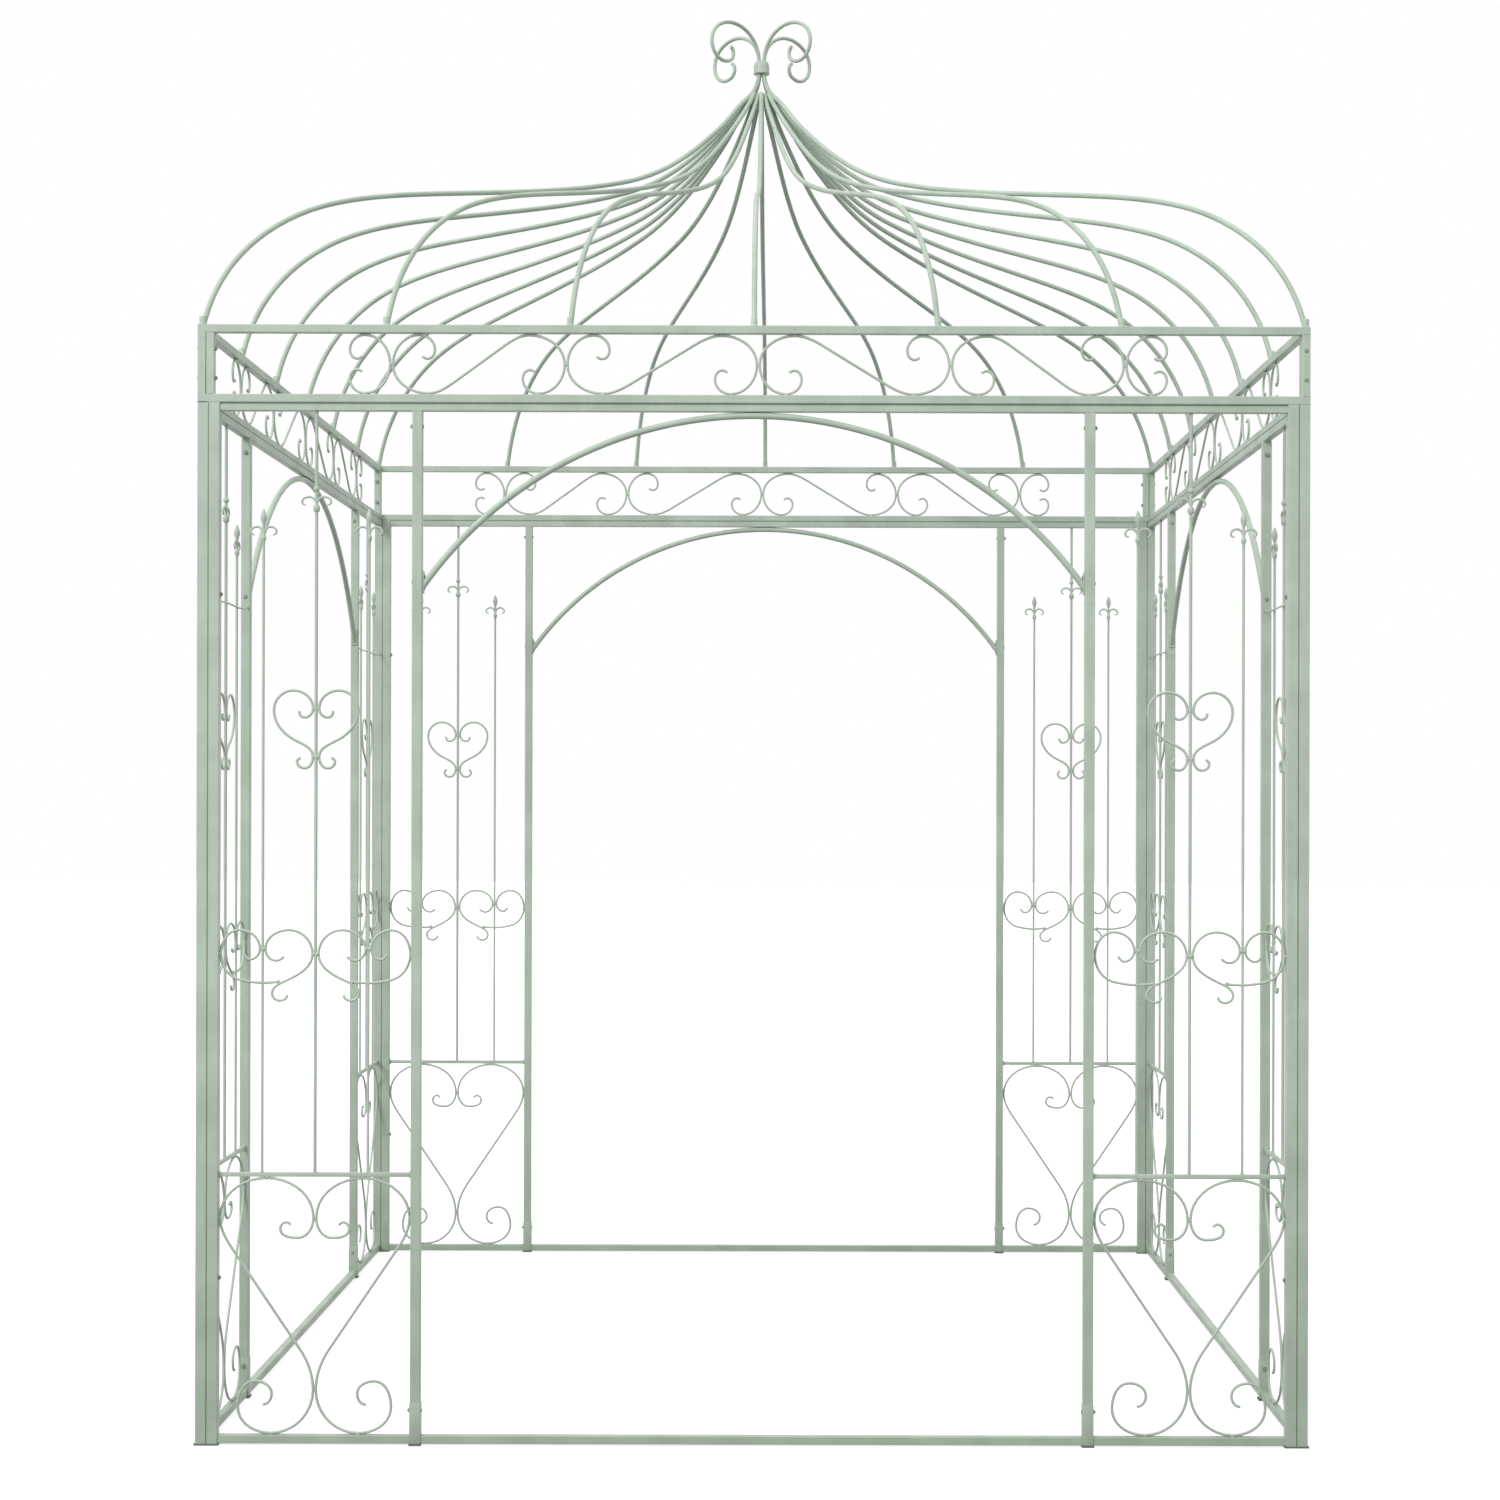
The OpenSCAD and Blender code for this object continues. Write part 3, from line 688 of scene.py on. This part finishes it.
# %% Build one panel and place it eight times
def one_panel():
    """The (mesh, matrix) parts of a panel whose middle is at x = 0."""
    bench = rod_curve("panel_rods")
    for mirrored in (False, True):
        for scroll in (long_scroll, inner_row_scroll, outer_row_scroll, heart_side):
            lay_rod(bench.data, scroll, rod_radius, mirrored=mirrored)
        side_rod = [(side_x, crossbar_z, 90), (side_x, spear_z - 58, 90)]
        lay_rod(bench.data, side_rod, rod_radius, mirrored=mirrored)
        lay_rod(bench.data, arm(26, fleur_z + 8), ARM_RADII, mirrored=mirrored)
        for side in (1, -1):
            lay_rod(bench.data, arm(23, spear_z - 36), ARM_RADII, place=move(side*side_x),
                    mirrored=mirrored)
    lay_rod(bench.data, [(0, crossbar_z, 90), (0, rail_under + 1, 90)], centre_rod_radius)
    rods = run_trees(bench, (RODS, {"Sides": 10, "Steps per bend": 9, "Finish": rod_paint}))
    bar_top = crossbar_z + crossbar_tall/2
    # Where rods touch each other and the frame, each bead has its middle within the metal
    touching = []
    for side in (1, -1):
        touching += [(side*x, z) for x, z in (
            (panel_half - 1, lower_mid), (panel_half/2, lower_top - 1), (sill_touch, sill_top + 1),
            (near - 2, row_z), (far + 1.5, row_z + 9), (over - 1.5, row_z + 9), (panel_half - 1, row_z),
            (near - 2, heart_z + 45), (near - 2, heart_z - 42), (side_x, bar_top),
            (side_x - 28, row_z - 50), (panel_half - 1, crossbar_z + 3), (panel_half - 1, crossbar_z - 3))]
    touching += [(0, lower_mid), (0, sill_top + 80), (0, bar_top), (0, rail_under - 1)]
    spots = points_object("panel_welds", [Vector((x, 0, z))*MM for x, z in touching])
    welds = run_trees(spots, (BEADS, {"Bead radius": 0.0036, "Seed": 11, "Finish": rod_paint}))
    parts = [(rods, move()), (welds, move()), (crossbar, move(z=crossbar_z)),
             (ball, move(z=fleur_z + 25)), (collar, move(z=fleur_z - 10))]
    return parts + [(spear, move(x=side*side_x, z=spear_z)) for side in (1, -1)]


panel_parts = one_panel()
for turns, wall in enumerate(WALLS):
    for side, label in ((-1, "left"), (1, "right")):
        gather(f"{wall}_{label}_scrollwork", panel_parts, rod_paint, "painted_rod",
               f"{wall}_{label}_panel", place=panel_place(turns, side))

# %% [markdown]
# Each panel of the side walls has a thin tie besides, from post to post behind the rods. It is
# soft wire rod, so it hangs a little slack.

# %% Ties of the side walls
tie_radius = 1.8
tie_z = sum(corner.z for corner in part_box("side_tie_bars"))/2/MM
slack = [(-panel_half, 3, -12), (0, -2.5, 0), (panel_half, 1, 8)]   # lower in the middle
bench = rod_curve("side_ties")
for turns in (1, 3):
    for side in (-1, 1):
        spot = panel_place(turns, side) @ move(y=rod_radius + tie_radius, z=tie_z)
        lay_rod(bench.data, slack, tie_radius, place=spot)
ties = run_trees(bench, (RODS, {"Sides": 8, "Steps per bend": 8, "Finish": rod_paint}))
gather("side_tie_rods", [(ties, move())], rod_paint, "painted_rod", "side_tie_bars")

# %% [markdown]
# ## Arches
# A round bar bends over each doorway in one arc, from a bolted tab on one door post up to the
# top rail and down to the other. The arc's radius follows from its half width and rise, and five
# touch points along it are enough for a Bezier spline to stay round.

# %% Arch bars on their tabs
bar_radius = 6.0
tab_thick, tab_deep, tab_tall = 3, 13, 40
tab_rise = 32   # of a tab's middle, above the lowest point of the CAD arch
bite = 4        # how far the bar's ends run into the posts, behind the tabs


def arch_parts(node, across):
    """A wall's arch as (mesh, matrix) parts, its half span and its tabs' height, in mm."""
    low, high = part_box(node)
    span = max(abs(low[across]), abs(high[across]))/MM
    foot, apex = low.z/MM + tab_rise, high.z/MM - bar_radius
    half_width, rise = span - bar_radius, apex - foot
    bend = (half_width*half_width + rise*rise)/(2*rise)
    reach_out = math.degrees(math.asin((span + bite)/bend))
    arc = [(bend*math.sin(math.radians(a)), apex - bend*(1 - math.cos(math.radians(a))), -a)
           for a in (-reach_out, -reach_out/2, 0, reach_out/2, reach_out)]
    bench = rod_curve("arch_bar")
    lay_rod(bench.data, arc, bar_radius)
    bar = run_trees(bench, (RODS, {"Sides": 16, "Steps per bend": 14, "Finish": tube_paint}))
    tab = plate(tab_thick, tab_deep, tab_tall, 1.0)
    tabs = [(tab, move(x=side*(span - tab_thick/2), z=foot)) for side in (1, -1)]
    print(node, "bends to a radius of", round(bend), "mm")
    return [(bar, move())] + tabs, span, foot


arches = [arch_parts("front_arch", 0), arch_parts("right_arch", 1)]
for turns, wall in enumerate(WALLS):
    gather(f"{wall}_arch_bar", arches[turns % 2][0], tube_paint, "painted_tube", f"{wall}_arch",
           place=wall_place(turns))

# %% [markdown]
# ## Frieze scrolls
# Above the walls runs a band of scrolls between two rails: from the middle outwards an S, a
# second S and a C on each side. A hooked end is written once. An S has it at both ends, turned
# half round, and a C has it twice, mirrored at mid height.

# %% Touch points of the frieze
low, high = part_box("front_frieze_scrolls")
gap = (high.z - low.z)/MM
# The four frames butt like a pinwheel, so each one's middle is half a tube off the wall's
off_middle = frieze_tube/2
frieze_place = [Matrix.Rotation(math.radians(90*t), 4, "Z")
                @ Matrix.Translation((off_middle*MM, (low.y + high.y)/2, low.z)) for t in range(4)]
rail_touch = 66


def hooked_end(hook):
    """From the tip of a hook, round it and up to mid height. hook is how far out it reaches."""
    return [(hook - 22, 41, 45), (hook - 13, 45, 0), (hook, 29, -90),
            (hook/2 + 11, rod_radius, 180), (rod_radius, gap/2, 90)]


def s_scroll(length):
    """An S from x = 0 to x = length."""
    tilt = -1.2*math.degrees(math.atan2(gap - 2*rod_radius, length - 2*rail_touch))
    start = (0.38*length, gap/2 - 0.12*length*math.tan(math.radians(tilt)), tilt)
    first = hooked_end(78) + [(rail_touch, gap - rod_radius, 0), start]
    return first + [(length - x, gap - z, a) for x, z, a in reversed(first)]


def c_scroll():
    """A C whose back is at x = 0."""
    first = hooked_end(75)
    return first + [(x, gap - z, 180 - a) for x, z, a in reversed(first[:-1])]


# %% Build one frieze and place it four times
def one_frieze(inner=346, outer=314):
    """The (mesh, matrix) parts of a wall's frieze. inner and outer are the lengths of its S scrolls."""
    bench = rod_curve("frieze_rods")
    touching = [(0, gap/2)]
    for mirrored in (False, True):
        side = -1 if mirrored else 1
        for start, scroll in ((0, s_scroll(inner)), (inner, s_scroll(outer)), (inner + outer, c_scroll())):
            moved = [(x + start, z, a) for x, z, a in scroll]
            lay_rod(bench.data, moved, rod_radius, mirrored=mirrored)
        for start, length in ((0, inner), (inner, outer)):
            touching += [(side*(start + x), z) for x, z in (
                (rail_touch, gap - 1), (length - rail_touch, 1), (50, 1), (length - 50, gap - 1),
                (length, gap/2))]
        touching += [(side*(inner + outer + 48), z) for z in (1, gap - 1)]
    rods = run_trees(bench, (RODS, {"Sides": 10, "Steps per bend": 9, "Finish": rod_paint}))
    spots = points_object("frieze_welds", [Vector((x, 0, z))*MM for x, z in touching])
    welds = run_trees(spots, (BEADS, {"Bead radius": 0.0034, "Seed": 23, "Finish": rod_paint}))
    return [(rods, move()), (welds, move())]


frieze_parts = one_frieze()
for turns, wall in enumerate(WALLS):
    gather(f"{wall}_frieze_scrollwork", frieze_parts, rod_paint, "painted_rod", f"{wall}_frieze_scrolls",
           place=frieze_place[turns])

# %% [markdown]
# ## Roof ribs
# Twenty-four ribs rise from the frieze in one S-shaped sweep, steep at the eaves, flat at the
# shoulder and steep again at the top. Every rib is the same figure, stretched to its own run
# from the middle of the roof to where it lands. Five ribs of one side and one corner rib are
# drawn, and the tree of equal turns makes the other three quarters.

# %% Ribs
collar_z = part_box("finial_collar")[0].z/MM
roof_rise = collar_z - eaves
landing = half_plan - frieze_tube/2
pitch = 2*landing/6
rib_radius, outer_bundle, inner_bundle = 5.0, 28, 20
bundle_height = 934
# The figure in thousandths of the rib's run and of the roof's rise, its headings as in that square
SHOULDER = [(1000, -10, 97), (853, 318, 135), (600, 452, 160.5), (283, 586, 149), (90, 807, 121)]
TO_COLLAR = [(43, 898, 119), (18.5, 940, 113), (6.4, 984, 98), (5, 1015, 91)]
# Each rib's foot in the plan and how far from the axis it ends. Corner ribs go on to the collar
landings = [(i*pitch - landing, -landing, outer_bundle if i % 2 else inner_bundle) for i in range(1, 6)]
landings.append((landing, -landing, None))
bench = rod_curve("quarter_of_the_ribs")
for x, y, bundle_radius in landings:
    run = math.hypot(x, y)
    top = [(1000*bundle_radius/run, bundle_height, 113)] if bundle_radius else TO_COLLAR
    stretch = Matrix.Diagonal((run*MM, 1, roof_rise*MM, 1))
    turn = Matrix.Rotation(math.atan2(y, x), 4, "Z")
    lay_rod(bench.data, SHOULDER + top, rib_radius, place=turn @ move(z=eaves) @ stretch)
ribs = run_trees(bench, (TURNS, {"Turns": 4, "Finish": tube_paint}),
                 (RODS, {"Sides": 14, "Steps per bend": 14, "Finish": tube_paint}))
gather("roof_ribs", [(ribs, move())], tube_paint, "painted_tube",
       "front_ribs", "right_ribs", "back_ribs", "left_ribs", "corner_ribs")

# %% [markdown]
# Each rib stands in a short socket that is welded to the frieze's top rail, with a ring of weld
# round it. The bundle at the top is held by a hoop inside the ring of rib ends.

# %% Rib sockets and the hoop
socket = turned([
    (0, -1), (7.2, -1), (7.3, 0.6), (6.4, 2.2), (6.0, 2.6), (5.9, 14), (5.5, 14.6), (0, 14.6)])
feet = []
for turns in range(4):
    quarter = Matrix.Rotation(math.radians(90*turns), 4, "Z")
    feet += [(socket, quarter @ move(x=x, y=y, z=eaves)) for x, y, _ in landings]
gather("rib_sockets", feet, tube_paint, "painted_tube")
hoop = turned([(0, -26), (13, -26), (17.5, -24), (18, -14), (17.5, -4), (14, 0), (0, 2)], sides=24)
hoop_z = eaves + bundle_height/1000*roof_rise
gather("bundle_hoop", [(hoop, move(z=hoop_z))], tube_paint, "painted_tube", "rib_crown")

# %% [markdown]
# ## Finial
# A turned ferrule with a flared lower edge closes the corner ribs, and four heavy scrolls stand
# on it over the corners. They are 8 mm rod, swept like the others.

# %% Ferrule and scrolls
ferrule_tall, finial_rod_radius = 28, 4.0
ferrule = turned([
    (0, 0), (16.6, 0), (17.5, 0.8), (17.5, 3), (17.0, 4.2), (17.2, 15), (16.4, 20), (14.9, 24.5),
    (14.0, 26.5), (12.4, 27.7), (8, ferrule_tall), (0, ferrule_tall)], sides=32)
gather("finial_ferrule", [(ferrule, move(z=collar_z))], rod_paint, "painted_rod", "finial_collar")
finial_scroll = [(8, 0, 90), (84, 67, 0), (149, 17, -90), (113, -20, 180), (85, 0, 90), (93, 14, 20)]
bench = rod_curve("finial_scroll")
diagonal = Matrix.Rotation(math.radians(45), 4, "Z") @ move(z=collar_z + ferrule_tall)
lay_rod(bench.data, finial_scroll, finial_rod_radius, place=diagonal)
scrolls = run_trees(bench, (TURNS, {"Turns": 4, "Finish": tube_paint}),
                    (RODS, {"Sides": 14, "Steps per bend": 14, "Finish": tube_paint}))
gather("finial_scroll_rods", [(scrolls, move())], tube_paint, "painted_tube", "finial_scrolls")

# %% [markdown]
# ## Fixings
# The gazebo comes flat and is bolted together. A bolt shows as the low domed head of a coach bolt
# on one face and as a nut with a washer on the other. Bolts go through the paired corner posts,
# the ends of the frieze, the arch tabs, the door posts and the sleeves at their feet. Each one is
# a point and the way out of the face that it sits on, and the tree does the rest.

# %% Where the bolts go
sleeve_wide, sleeve_tall = 20, 74
panel_bolt_z, sleeve_bolt_z, tab_bolt_rise = 1833, 62, 11
corner_bolts_z, frieze_bolts_z = (300, 1530), (1919, 1972)


def wall_bolts(turns):
    """Lists (point, way out) of one wall's heads and nuts, in metres."""
    heads, nuts = [], []
    full = turns % 2
    span, foot = arches[full][1:]
    post_half, sleeve_half = door_post/2, sleeve_wide/2
    place = wall_place(turns)
    corner = Matrix.Rotation(math.radians(90*turns), 4, "Z")

    def put(group, x, y, z, out, place=place):
        group.append((place @ Vector((x*MM, y*MM, z*MM)), place.to_3x3() @ Vector(out)))

    for side in (-1, 1):
        post = side*(span + post_half)
        put(heads, post - side*post_half, 0, panel_bolt_z, (-side, 0, 0))
        put(nuts, post + side*post_half, 0, panel_bolt_z, (side, 0, 0))
        put(heads, post + side*post_half, 0, foot, (side, 0, 0))
        put(nuts, post + side*sleeve_half, 0, sleeve_bolt_z, (side, 0, 0))
        for rise in (tab_bolt_rise, -tab_bolt_rise):
            put(heads, side*(span - tab_thick), 0, foot + rise, (-side, 0, 0))
        put(heads, post - side*sleeve_half, 0, sleeve_bolt_z, (-side, 0, 0))
        for z in corner_bolts_z:
            if full:
                put(heads, side*(half_plan - corner_post/2), -corner_post/2, z, (0, -1, 0))
            else:
                put(nuts, side*(half_plan - 2*corner_post), 0, z, (-side, 0, 0))
    for z in frieze_bolts_z:
        put(heads, landing, -half_plan, z, (0, -1, 0), corner)
        put(nuts, 2*frieze_tube - half_plan, -landing, z, (1, 0, 0), corner)
    return heads, nuts


all_heads, all_nuts = [], []
for turns in range(4):
    heads, nuts = wall_bolts(turns)
    all_heads += heads
    all_nuts += nuts
print("bolt heads:", len(all_heads), "nuts:", len(all_nuts))

# %% Bolts
spots = points_object("head_spots", [p for p, _ in all_heads], [w for _, w in all_heads])
heads = run_trees(spots, (BOLTS, {
    "Sides": 16, "Head radius": 0.0042, "Head height": 0.0014, "Crown radius": 0.0024,
    "Washer radius": 0.0042, "Washer thickness": 0.0004, "Thread radius": 0.002, "Thread end": 0.0005,
    "Finish": bolt_zinc}))
spots = points_object("nut_spots", [p for p, _ in all_nuts], [w for _, w in all_nuts])
nuts = run_trees(spots, (BOLTS, {
    "Sides": 6, "Head radius": 0.0040, "Head height": 0.0026, "Crown radius": 0.0037,
    "Washer radius": 0.0046, "Washer thickness": 0.0006, "Thread radius": 0.0021, "Thread end": 0.0044,
    "Finish": bolt_zinc}))
gather("bolts_and_nuts", [(heads, move()), (nuts, move())], bolt_zinc, "foot_cap")

# %% [markdown]
# The door posts are made in lengths that plug together: a joint shows as a thin band just below
# the arch tabs, and a short sleeve holds each one at the ground.

# %% Sleeves and joints
sleeve = plate(sleeve_wide, sleeve_wide, sleeve_tall, 1.4)
band = plate(door_post + 0.5, door_post + 0.5, 2.2, 0.3)
joint_drop = 36   # of a joint below the middle of an arch tab
foot_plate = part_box("post_feet")[1].z/MM
sleeves, bands = [], []
for turns in range(4):
    span, foot = arches[turns % 2][1:]
    for side in (-1, 1):
        post = side*(span + door_post/2)
        sleeves.append((sleeve, wall_place(turns) @ move(x=post, z=foot_plate + sleeve_tall/2)))
        bands.append((band, wall_place(turns) @ move(x=post, z=foot - joint_drop)))
gather("door_post_sleeves", sleeves, tube_paint, "painted_tube")
gather("door_post_joints", bands, rod_paint, "painted_rod")

# %% [markdown]
# Where two tubes lie side by side their rounded edges leave a groove that falls in shade: along the top of
# every wall, where the frieze sits on it, and up each corner, where two posts meet. A thin strip just under
# the surface fills the groove with painted shade, a dark coat that stands in for the shadow in it.

# %% Painted shade in the grooves between paired tubes
# These dark greens are painted shade for the grooves
groove_painted_shade = powder_coat("painted_shade_in_the_grooves", "#6E7C69", "#667362", "#5C6858")
frieze_low = eaves - frieze_tall
strip, lying_deep, post_strip_tall = 2.2, 17.2, frieze_low - 4
lying = plate(2*half_plan - frieze_tube, lying_deep, 2.6, 0.3)
frieze_strip = plate(strip, frieze_tube - 0.3, frieze_tall - 2, 0.1)
post_strip = plate(strip, corner_post - 0.3, post_strip_tall, 0.1)
# The lying strips start 0.4 mm under the outer face
lying_y = 0.4 + lying_deep/2 - half_plan
grooves = []
for turns in range(4):
    quarter = Matrix.Rotation(math.radians(90*turns), 4, "Z")
    butt = quarter @ move(x=frieze_tube - half_plan, y=-landing, z=frieze_low + frieze_tall/2)
    grooves.append((lying, quarter @ move(x=off_middle, y=lying_y, z=frieze_low)))
    grooves.append((frieze_strip, butt))
# Painted shade where the two posts of a corner meet
pair_x, pair_y = half_plan - corner_post, half_plan - corner_post/2
for x in (-pair_x, pair_x):
    for y in (-pair_y, pair_y):
        grooves.append((post_strip, move(x=x, y=y, z=foot_plate + 0.5 + post_strip_tall/2)))
gather("painted_shade_in_the_joint_grooves", grooves, groove_painted_shade, "foot_cap")
